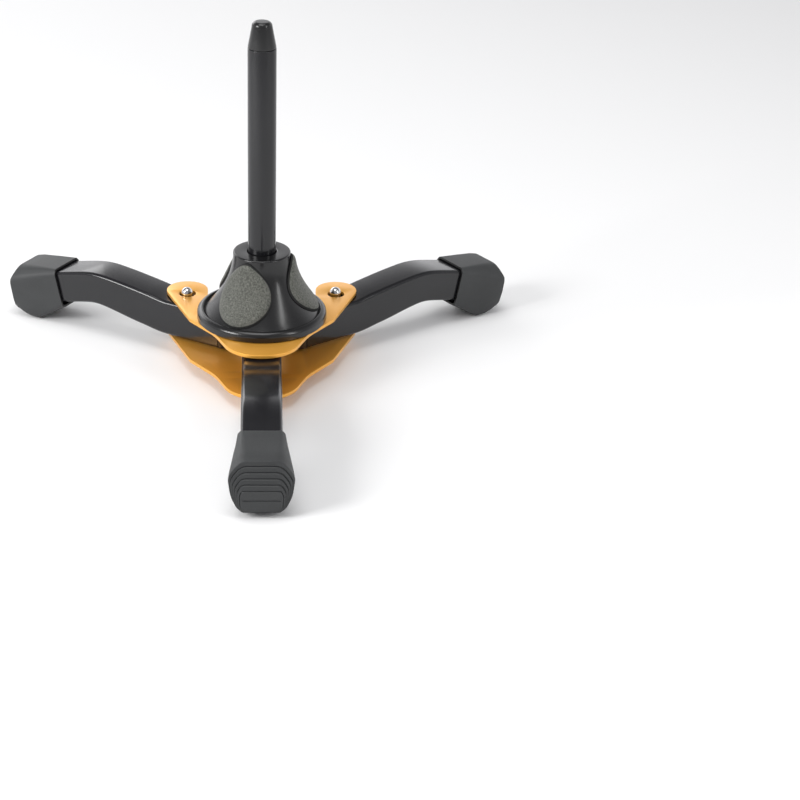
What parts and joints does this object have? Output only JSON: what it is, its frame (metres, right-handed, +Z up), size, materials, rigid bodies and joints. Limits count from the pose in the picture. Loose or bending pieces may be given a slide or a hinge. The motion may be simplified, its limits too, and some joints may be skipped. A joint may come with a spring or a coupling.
{
  "type": "folding trumpet stand",
  "caption": "Folding peg stand for a trumpet: padded cone and slim peg on two stamped plates, goose-neck tube legs with rubber boots that swing in once snap buttons are pressed",
  "frame": {"origin": "on the floor under the middle of the footprint's bounding box; the peg stands a few centimetres behind it", "axes": "+Z up along the peg, +X to the stand's right seen from the front leg's side, -Y along the front leg"},
  "size_m": [0.2994, 0.2828, 0.2109],
  "materials": {
    "gold_plate": "gold-coloured plating, satin",
    "black_steel": "black powder coat, semi-gloss",
    "black_plastic": "moulded, semi-gloss",
    "grey_rubber": "matt",
    "grey_foam": "felt-like, matt",
    "chrome": "polished",
    "zinc_steel": "zinc plated"
  },
  "bodies": {
    "root": {"lower_plate": "gold_plate", "upper_plate": "gold_plate", "bell_cone": "black_plastic", "front_pad": "grey_foam", "right_pad": "grey_foam", "back_pad": "grey_foam", "peg_tube": "black_steel", "peg_threaded_insert": "zinc_steel", "peg_tip": "black_plastic", "centre_bolt": "zinc_steel", "centre_washer": "zinc_steel", "spacer_sleeve": "zinc_steel", "front_leg_tube": "black_steel", "front_leg_plug": "black_plastic", "front_boot": "grey_rubber", "front_inner_rivet": "zinc_steel", "front_inner_lower_washer": "zinc_steel", "front_inner_upper_washer": "zinc_steel", "front_outer_rivet": "zinc_steel", "front_outer_lower_washer": "zinc_steel", "front_outer_upper_washer": "zinc_steel", "left_pivot_rivet": "zinc_steel", "left_pivot_lower_washer": "zinc_steel", "left_pivot_upper_washer": "zinc_steel", "right_pivot_rivet": "zinc_steel", "right_pivot_lower_washer": "zinc_steel", "right_pivot_upper_washer": "zinc_steel"},
    "left_leg": {"left_leg_tube": "black_steel", "left_leg_plug": "black_plastic", "left_boot": "grey_rubber", "left_button_cup": "black_plastic", "left_button_spring": "zinc_steel"},
    "left_button": {"left_snap_button": "chrome"},
    "right_leg": {"right_leg_tube": "black_steel", "right_leg_plug": "black_plastic", "right_boot": "grey_rubber", "right_button_cup": "black_plastic", "right_button_spring": "zinc_steel"},
    "right_button": {"right_snap_button": "chrome"}
  },
  "joints": [
    {"name": "left_leg_fold", "type": "hinge", "parent": "root", "child": "left_leg", "pos_m": [-0.02257, 0.04963, 0.0226], "axis": [0, 0, 1], "range_deg": [0, 95], "deforming": ["left_snap_button"]},
    {"name": "left_button_press", "type": "slide", "parent": "left_leg", "child": "left_button", "axis": [0, 0, -1], "range_m": [0, 0.0064], "stiffness_N_per_m": 300, "deforming": ["left_button_spring"]},
    {"name": "right_leg_fold", "type": "hinge", "parent": "root", "child": "right_leg", "pos_m": [0.02552, 0.04963, 0.0226], "axis": [0, 0, -1], "range_deg": [0, 95], "deforming": ["right_snap_button"]},
    {"name": "right_button_press", "type": "slide", "parent": "right_leg", "child": "right_button", "axis": [0, 0, -1], "range_m": [0, 0.0064], "stiffness_N_per_m": 300, "deforming": ["right_button_spring"]}
  ]
}
